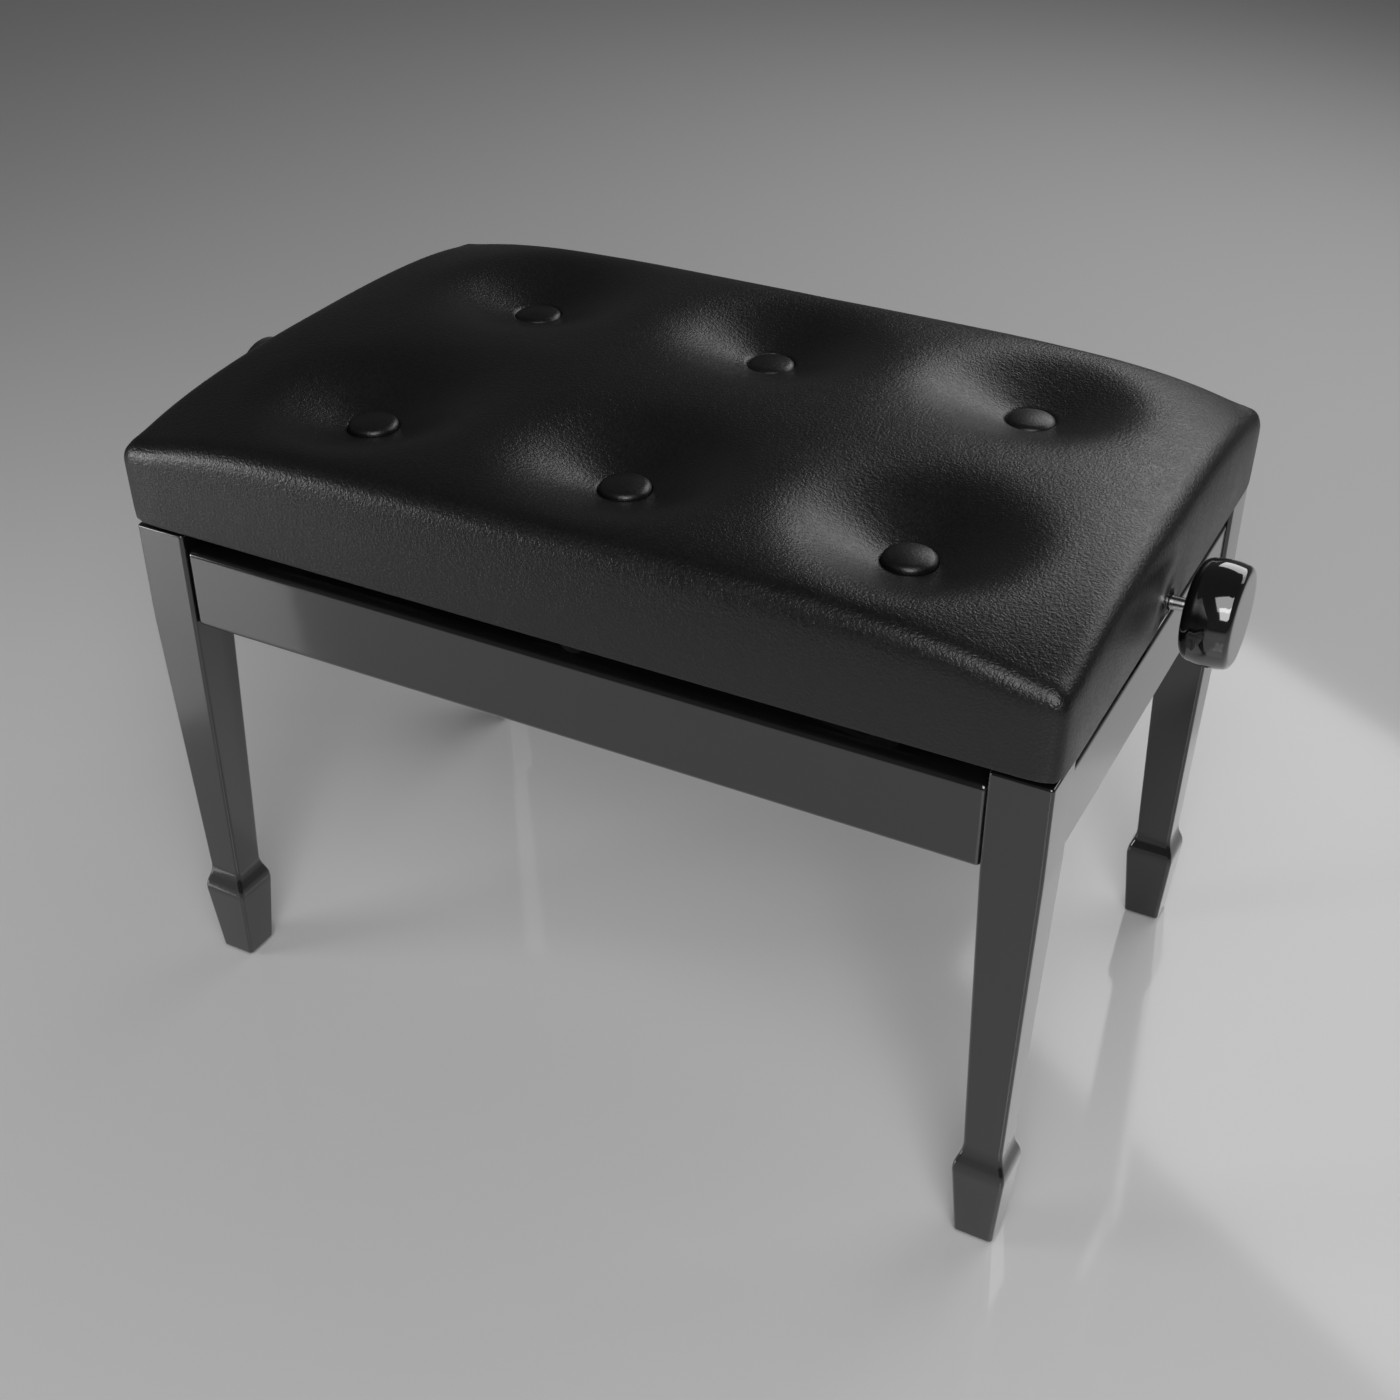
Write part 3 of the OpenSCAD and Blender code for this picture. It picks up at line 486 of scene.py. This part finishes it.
for name in ("leg_front_left", "leg_front_right", "leg_back_left", "leg_back_right"):
    makeLeg(name)
for name in ("apron_front", "apron_back", "apron_left", "apron_right"):
    makeApron(name)
print("legs and aprons are made")

# Knobs and their rod

knob = {
    "endRadius": 0.0300, "belly": 0.0010, "backEdge": 0.0080, "frontEdge": 0.0040,
    "sideSteps": 10, "steps": 96,
    "recess": ((0.0065, 0.0012), (0.0072, 0.0)), "flat": 0.004,
    "leftOut": 0.0045, "neck": 0.0078, "neckOver": 0.0003, "neckEdge": 0.0006,  # the left one's neck
}


def arcPoints(centre, radius, start, end, steps):
    angles = [math.radians(start + (end - start) * i / steps) for i in range(steps + 1)]
    return [(centre[0] + radius * math.cos(a), centre[1] + radius * math.sin(a)) for a in angles]


def makeKnob(node, side):
    low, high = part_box(node)
    length = high.x - low.x
    end, rear, front = knob["endRadius"], knob["backEdge"], knob["frontEdge"]
    sides = [i / knob["sideSteps"] for i in range(1, knob["sideSteps"])]
    outline = [(0.0, knob["recess"][0][1]), *knob["recess"], (end - rear, 0.0)]
    if side < 0:
        neck, start = knob["neck"], -knob["leftOut"] - knob["neckOver"]
        outline = [(0.0, start), (neck - knob["neckEdge"], start), (neck, start + knob["neckEdge"])]
        outline += [(neck, 0.0), (end - rear, 0.0)]
    outline += arcPoints((end - rear, rear), rear, -80, 0, 10)
    outline += [(end + knob["belly"] * 4 * t * (1 - t), rear + (length - front - rear) * t) for t in sides]
    outline += arcPoints((end - front, length - front), front, 0, 90, 8)
    outline += [(end - front - knob["flat"], length), (0.0, length)]
    bm = bmesh.new()
    back = low.x if side > 0 else high.x - knob["leftOut"]
    turn = Matrix.Translation((back, 0.0, (low.z + high.z) / 2))
    turn = turn @ Matrix.Rotation(math.radians(90 * side), 4, "Y")
    turnedOn(bm, outline, knob["steps"], turn)
    makePiece("turned_" + node, bm, "screw", "knob", [node], sharp=40)


rod = {
    "thread": (0.115, 0.228), "pitch": 0.003, "depth": 0.0007, "stepsATurn": 24,
    "chamfer": 0.0008, "steps": 48,
}


def makeRod():
    low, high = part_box("screw_rod")
    radius = (high.z - low.z) / 2
    centre = (low.z + high.z) / 2
    alongX = Matrix.Rotation(math.radians(90), 4, "Y")
    bm = bmesh.new()
    start, end = rod["thread"]
    for a, b in ((low.x, start), (end, high.x)):
        outline = [(0.0, a), (radius - rod["chamfer"], a), (radius, a + rod["chamfer"])]
        outline += [(radius, b - rod["chamfer"]), (radius - rod["chamfer"], b), (0.0, b)]
        part = bmesh.new()
        turnedOn(part, outline, rod["steps"], alongX)
        addPart(bm, part)
    pitch, steps = rod["pitch"], rod["stepsATurn"]
    turns = int((end - start) / pitch)
    root = radius - rod["depth"]
    flank = [(root, 0.0), (radius, 0.4), (radius, 0.5), (root, 0.9), (root, 1.0)]  # one turn of the thread
    part = bmesh.new()
    verts = [part.verts.new((r, 0.0, h * pitch)) for r, h in flank]
    edges = [part.edges.new(pair) for pair in zip(verts, verts[1:])]
    bmesh.ops.spin(
        part, geom=verts + edges, cent=(0, 0, 0), axis=(0, 0, 1), dvec=(0, 0, pitch / steps),
        angle=math.tau * turns, steps=steps * turns,
        use_merge=False, use_normal_flip=False, use_duplicate=False,
    )
    bmesh.ops.remove_doubles(part, verts=part.verts, dist=1e-6)
    bmesh.ops.recalc_face_normals(part, faces=part.faces)
    bmesh.ops.transform(part, matrix=Matrix.Translation((start, 0, 0)) @ alongX, verts=part.verts)
    addPart(bm, part)
    bmesh.ops.translate(bm, vec=(0, 0, centre), verts=bm.verts)
    makePiece("threaded_rod", bm, "screw", "bright", ["screw_rod"], sharp=30)


makeKnob("knob_left", -1)
makeKnob("knob_right", 1)
makeRod()
print("knobs and rod are made")

# Cushion cover

cushion = {
    "cell": 0.0052, "roll": 0.013, "rollSteps": 5, "flare": 0.0008, "wallSteps": 8, "cornerRadius": 0.003,
    "bottomRound": 0.0016, "bottomSteps": 4, "hem": 0.012, "thickness": 0.0013, "slack": 0.0022,
    "squareness": 20.0, "cornerCrease": 0.25, "creaseBand": 0.0015,
    "spare": 0.003, "endDrop": 0.0040, "sideDrop": 0.0045, "cornerDrop": 0.0185, "backLean": 0.0035,
    "tuftDepth": 0.0225, "backRaise": 0.0028, "tuftReach": 0.070, "tuftPocket": 0.0163,
    "ringRadius": 0.0200,
    "pocketLip": ((0.0006, 0.0), (-0.0006, 0.0009), (-0.0012, 0.0030)),  # step from the lip, depth
    "pocketFloor": 0.0040, "floorRadii": (0.009, 0.004),
    "holeHeight": 0.3560, "holeWide": 0.0072, "holeTall": 0.0086,
    "holeEdge": ((0.0012, 0.93), (0.0035, 0.90), (0.0065, 0.90)),  # step inwards, share of the opening
    "dent": 0.0026, "dentReach": 0.038, "dentAt": (-0.008, 0.006),  # the pull round the rod's opening
    "heldHem": 0.004, "heldTuft": 0.0012, "heldHole": 0.0115,  # what the cloth can't move
    "cap": 0.005, "frames": 20,
}
fabric = {
    "quality": 8, "mass": 0.5, "tension_stiffness": 60, "compression_stiffness": 60, "shear_stiffness": 30,
    "bending_stiffness": 12.0, "use_pressure": True, "uniform_pressure_force": 3.0,
}
buttonPlaces = [(x, y) for x in (-0.176, 0.0, 0.176) for y in (-0.095, 0.095)]
coverLow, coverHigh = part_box("seat_cover")


def tuftDepth(x, y):  # how far the buttons pull the top down at a place
    depth = 0.0
    for bx, by in buttonPlaces:
        reach = cushion["tuftReach"]
        t = min(max((math.hypot(x - bx, y - by) - cushion["tuftPocket"]) / reach, 0.0), 1.0)
        lowest = cushion["tuftDepth"] - (cushion["backRaise"] if by > 0 else 0.0)
        depth += lowest * (1.0 - t * 4 / 3 if t < 0.5 else (1.0 - t) ** 2 * 4 / 3)
    return depth


def topHeight(x, y):  # the crown, falling away to the ends, sides and corners
    u, v = abs(x) / coverHigh.x, abs(y) / coverHigh.y
    corner = cushion["cornerDrop"] + (math.copysign(cushion["backLean"], x) if y > 0 else 0.0)
    drop = cushion["endDrop"] * u ** 6 + cushion["sideDrop"] * v ** 6 + corner * u ** 5 * v ** 2.5
    return coverHigh.z - cushion["spare"] - drop - tuftDepth(x, y)


def roundedPlan(x, y, hx, hy, r):  # the grid's four corners drawn round
    u, v = (abs(x) - (hx - r)) / r, (abs(y) - (hy - r)) / r
    if u <= 0 or v <= 0:
        return x, y
    nu, nv = u * math.sqrt(1 - v * v / 2), v * math.sqrt(1 - u * u / 2)
    return math.copysign(hx - r + nu * r, x), math.copysign(hy - r + nv * r, y)


def outward(x, y, hx, hy, r):  # which way the wall faces, with nearly square corners
    dx, dy = max(abs(x) - (hx - r), 0.0), max(abs(y) - (hy - r), 0.0)
    if dx > 0 and dy > 0:
        square = cushion["squareness"]
        way = Vector((math.copysign(dx, x), math.copysign(dy, y), 0.0))
        return way / (dx ** square + dy ** square) ** (1 / square)
    if hx - abs(x) < hy - abs(y):
        return Vector((math.copysign(1.0, x), 0.0, 0.0))
    return Vector((0.0, math.copysign(1.0, y), 0.0))


def onCorner(co):
    outX, outY = abs(co.x) - coverHigh.x, abs(co.y) - coverHigh.y
    return abs(outX - outY) < cushion["creaseBand"] and outX > -cushion["roll"] - 0.002


def smoothed(bm, verts, rounds, factor):
    for _ in range(rounds):
        bmesh.ops.smooth_vert(
            bm, verts=verts, factor=factor, use_axis_x=True, use_axis_y=True, use_axis_z=True,
        )


def openRound(bm, away, snapped, near):  # a round opening in a grid; its rim edges come back
    inside = [f for f in bm.faces if away(f.calc_center_median()) < 1.0]
    rim = {v for f in inside for v in f.verts if any(g not in inside for g in v.link_faces)}
    bmesh.ops.delete(bm, geom=inside, context="FACES")
    for v in rim:
        v.co = snapped(v.co)
    around = [v for v in bm.verts if v not in rim and near(v.co) and not v.is_boundary]
    smoothed(bm, around, 8, 0.5)
    return [e for e in bm.edges if e.is_boundary and e.verts[0] in rim and e.verts[1] in rim]


def nextRing(bm, rim):  # one more ring of faces on an open rim
    grown = bmesh.ops.extrude_edge_only(bm, edges=rim)["geom"]
    fresh = [g for g in grown if isinstance(g, bmesh.types.BMVert)]
    return [g for g in grown if isinstance(g, bmesh.types.BMEdge) and g.is_boundary], fresh


def growRim(bm, rim, moved):
    rim, fresh = nextRing(bm, rim)
    for v in fresh:
        v.co = moved(v.co)
    return rim


def inOrder(bm):  # edges and faces in one order each run, so that the cloth moves alike
    bm.verts.index_update()
    size = len(bm.verts)

    def rank(part):
        around = sorted(v.index for v in part.verts)
        return (around[0] * size + around[1]) * size + around[-1]

    bm.edges.sort(key=rank)
    bm.faces.sort(key=rank)


def coverForm():
    roll, radius = cushion["roll"], cushion["cornerRadius"]
    hx, hy = coverHigh.x - roll, coverHigh.y - roll
    bm = bmesh.new()
    cells = [round(2 * h / cushion["cell"]) for h in (hx, hy)]
    bmesh.ops.create_grid(bm, x_segments=cells[0], y_segments=cells[1], size=1.0)
    bmesh.ops.scale(bm, vec=(hx, hy, 1.0), verts=bm.verts)
    for v in bm.verts:
        v.co.x, v.co.y = roundedPlan(v.co.x, v.co.y, hx, hy, radius)
    outer = [e for e in bm.edges if e.is_boundary]
    rings = []
    for x, y in buttonPlaces:
        centre, ring = Vector((x, y, 0.0)), cushion["ringRadius"]
        rings.append((centre, openRound(
            bm,
            lambda co: (co - centre).length / ring,
            lambda co: centre + (co - centre).normalized() * ring,
            lambda co: (co - centre).length < ring * 1.9,
        )))
    for v in bm.verts:
        v.co.z = topHeight(v.co.x, v.co.y) - cushion["slack"]
    wallRings(bm, outer, hx, hy)
    for side in (-1, 1):
        rodOpening(bm, side)
    for centre, rim in rings:
        pocketRings(bm, centre, rim)
    bmesh.ops.recalc_face_normals(bm, faces=bm.faces)
    crease = bm.edges.layers.float.new("crease_edge")
    for e in bm.edges:
        if all(onCorner(v.co) for v in e.verts):
            e[crease] = cushion["cornerCrease"]
    inOrder(bm)
    return bm


def wallRings(bm, rim, hx, hy):  # rolled edge, wall, lower edge and the hem under the frame
    roll, flare, radius = cushion["roll"], cushion["flare"], cushion["cornerRadius"]
    edge, bottom = cushion["bottomRound"], coverLow.z
    start = {}
    for e in rim:
        for v in e.verts:
            start[v] = (v.co.copy(), outward(v.co.x, v.co.y, hx, hy, radius))
    sections = []
    for i in range(1, cushion["rollSteps"] + 1):
        a = math.pi / 2 * i / cushion["rollSteps"]
        sections.append((roll * math.sin(a), 0.0, roll * (1 - math.cos(a)), 0.0))
    for i in range(1, cushion["wallSteps"] + 1):
        t = i / cushion["wallSteps"]
        sections.append((roll - flare * t, t, roll, edge))
    for i in range(1, cushion["bottomSteps"] + 1):
        a = math.pi / 2 * i / cushion["bottomSteps"]
        sections.append((roll - flare - edge * (1 - math.cos(a)), 1.0, 0.0, edge * (1 - math.sin(a))))
    for t in (0.35, 0.7, 1.0):
        sections.append((roll - flare - edge - (cushion["hem"] - edge) * t, 1.0, 0.0, 0.0))
    for out, share, below, above in sections:
        rim, fresh = nextRing(bm, rim)
        carried = {}
        for v in fresh:
            carried[v] = next(start[e.other_vert(v)] for e in v.link_edges if e.other_vert(v) in start)
        for v, (place, way) in carried.items():
            v.co = place + way * out
            v.co.z = (place.z - below) * (1 - share) + (bottom + above) * share
        start = carried


def rodOpening(bm, side):
    centre = Vector((0.0, 0.0, cushion["holeHeight"]))
    wide, tall = cushion["holeWide"], cushion["holeTall"]

    def away(co):
        if co.x * side < coverHigh.x - cushion["roll"] * 0.6:
            return 9.0
        return math.hypot(co.y / wide, (co.z - centre.z) / tall)

    def snapped(co):
        a = math.atan2((co.z - centre.z) / tall, co.y / wide)
        return Vector((co.x, wide * math.cos(a), centre.z + tall * math.sin(a)))

    rim = openRound(bm, away, snapped, lambda co: away(co) < 2.6)
    for inward, share in cushion["holeEdge"]:
        rim = growRim(bm, rim, lambda co: Vector((
            co.x - side * inward, co.y * share, centre.z + (co.z - centre.z) * share)))


def pocketRings(bm, centre, rim):
    lip, floorHeight = cushion["tuftPocket"], topHeight(centre.x, centre.y) - cushion["pocketFloor"]

    def onLip(co):
        way = Vector((co.x - centre.x, co.y - centre.y, 0.0)).normalized()
        place = centre + way * radius
        place.z = topHeight(place.x, place.y) - cushion["slack"] * 0.3 - below
        return place

    def onFloor(co):
        far = math.hypot(co.x - centre.x, co.y - centre.y)
        x = centre.x + (co.x - centre.x) * radius / far
        y = centre.y + (co.y - centre.y) * radius / far
        return Vector((x, y, floorHeight))

    for step, below in cushion["pocketLip"]:
        radius = lip + step
        rim = growRim(bm, rim, onLip)
    for radius in (lip - 0.0022, *cushion["floorRadii"]):
        rim = growRim(bm, rim, onFloor)


def pinWeight(co):
    if co.z < coverLow.z + cushion["heldHem"]:
        return 1.0
    held = cushion["tuftPocket"] + cushion["heldTuft"]
    if any(math.hypot(co.x - x, co.y - y) < held for x, y in buttonPlaces):
        return 1.0
    fromHole = math.hypot(co.y, co.z - cushion["holeHeight"])
    if abs(co.x) > coverHigh.x - 0.02 and fromHole < cushion["heldHole"]:
        return 1.0
    return 0.0


def inflate(piece):  # the foam's push, as pressure under the cover
    start = [v.co.copy() for v in piece.data.vertices]
    group = piece.vertex_groups.new(name="held")
    for v in piece.data.vertices:
        group.add([v.index], pinWeight(v.co), "REPLACE")
    cloth = piece.modifiers.new("cloth", "CLOTH")
    cloth.settings.vertex_group_mass = "held"
    for name, value in fabric.items():
        setattr(cloth.settings, name, value)
    cloth.settings.effector_weights.gravity = 0
    cloth.collision_settings.use_collision = False
    cloth.point_cache.frame_start = 1
    cloth.point_cache.frame_end = cushion["frames"]
    scene = bpy.context.scene
    for i in range(1, cushion["frames"] + 1):
        scene.frame_set(i)
    seen = piece.evaluated_get(bpy.context.evaluated_depsgraph_get())
    moved = [v.co.copy() for v in seen.data.vertices]
    piece.modifiers.remove(cloth)
    piece.vertex_groups.remove(group)
    scene.frame_set(1)
    most = 0.0
    for v, a, b in zip(piece.data.vertices, start, moved):
        step = b - a
        most = max(most, step.length)
        if step.length > cushion["cap"]:
            step *= cushion["cap"] / step.length
        v.co = a + step
    print("cloth moved at most", round(most * 1000, 2), "mm")


def settle(piece):  # evens the cloth out and pulls it in round the rod
    bm = bmesh.new()
    bm.from_mesh(piece.data)
    free = [v for v in bm.verts if pinWeight(v.co) == 0.0 and not onCorner(v.co)]
    smoothed(bm, free, 3, 0.4)
    aside, above = cushion["dentAt"]
    for v in free:
        far = math.hypot(v.co.y - aside, v.co.z - cushion["holeHeight"] - above) / cushion["dentReach"]
        if abs(v.co.x) > coverHigh.x - 0.03 and far < 1.0:
            v.co.x -= math.copysign(cushion["dent"] * (1 - far * far) ** 2, v.co.x)
    bm.to_mesh(piece.data)
    bm.free()


cover = makePiece("seat_cushion", coverForm(), "seat", "leather", ["seat_cover", "foam_pad"])
inflate(cover)
settle(cover)
wall = cover.modifiers.new("wall", "SOLIDIFY")
wall.thickness = cushion["thickness"]
wall.offset = -1.0
smooth = cover.modifiers.new("smooth", "SUBSURF")
smooth.levels = smooth.render_levels = 1
print("cushion is made")

# Buttons

button = {
    "radius": 0.0155, "height": 0.0080, "side": 0.0024,
    "edgeDeep": 0.0046, "edgeWide": 0.0052, "fold": 0.0012,
    "crown": 0.0009, "crownRings": (0.85, 0.68, 0.5, 0.32, 0.15, 0.0), "shank": 0.0015, "steps": 64,
}


def makeButtons():
    low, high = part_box("cover_buttons")
    base = high.z - button["height"]
    r, top, side, fold = button["radius"], button["height"], button["side"], button["fold"]
    wide, deep, shank, tail = button["edgeWide"], button["edgeDeep"], button["shank"], low.z - base
    shoulder = top - deep
    outline = [(0.0, tail), (shank, tail), (shank, 0.0), (r - 2 * fold, 0.0)]
    outline += arcPoints((r - fold, fold), fold, -70, 0, 4) + [(r, side)]
    for i in range(1, 9):
        a = math.radians(80 * i / 8)
        outline.append((r - wide * (1 - math.cos(a)), shoulder + (deep - button["crown"]) * math.sin(a)))
    rim = outline[-1]
    outline += [(rim[0] * t, top - (top - rim[1]) * t * t) for t in button["crownRings"]]
    bm = bmesh.new()
    for x, y in buttonPlaces:
        part = bmesh.new()
        turnedOn(part, outline, button["steps"], Matrix.Translation((x, y, base)))
        addPart(bm, part)
    makePiece("covered_buttons", bm, "seat", "buttonLeather", ["cover_buttons"])


makeButtons()
print("buttons are made")

# Finishes of the carried nodes

carried = {
    "stainShort": ["seat_frame_left", "seat_frame_right"],
    "stainLong": ["seat_frame_front", "seat_frame_back", "apron_dowels"],
    "stainUp": ["corner_block_front_left", "corner_block_front_right",
                "corner_block_back_left", "corner_block_back_right"],
    "plywood": ["seat_deck"],
    "zinc": ["corner_bolts", "corner_nuts", "base_rail_screws", "centre_rivets", "deck_screws",
             "button_anchors", "seat_rail_screws", "thrust_collars"],
    "nylon": ["foot_glides", "base_pivot_washers", "centre_washers", "slide_rollers", "slide_sleeves",
              "bearing_sleeves", "rod_bushes", "nut_bar_rollers", "nut_bar_washers"],
    "paint": ["base_rail_front", "base_rail_back", "base_pivot_rod", "outer_arm_front", "outer_arm_back",
              "inner_arm_front", "inner_arm_back", "slide_rod", "seat_rail_front", "seat_rail_back",
              "bearing_bar", "nut_bar", "collar_screws"],
    "brass": ["nut_insert", "knob_hubs"],
}
for finish, names in carried.items():
    for name in names:
        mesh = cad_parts[name].data
        mesh.materials.clear()
        mesh.materials.append(finishes[finish])
print("carried nodes have their finishes")

scene = bpy.context.scene
scene.view_settings.view_transform = "Standard"
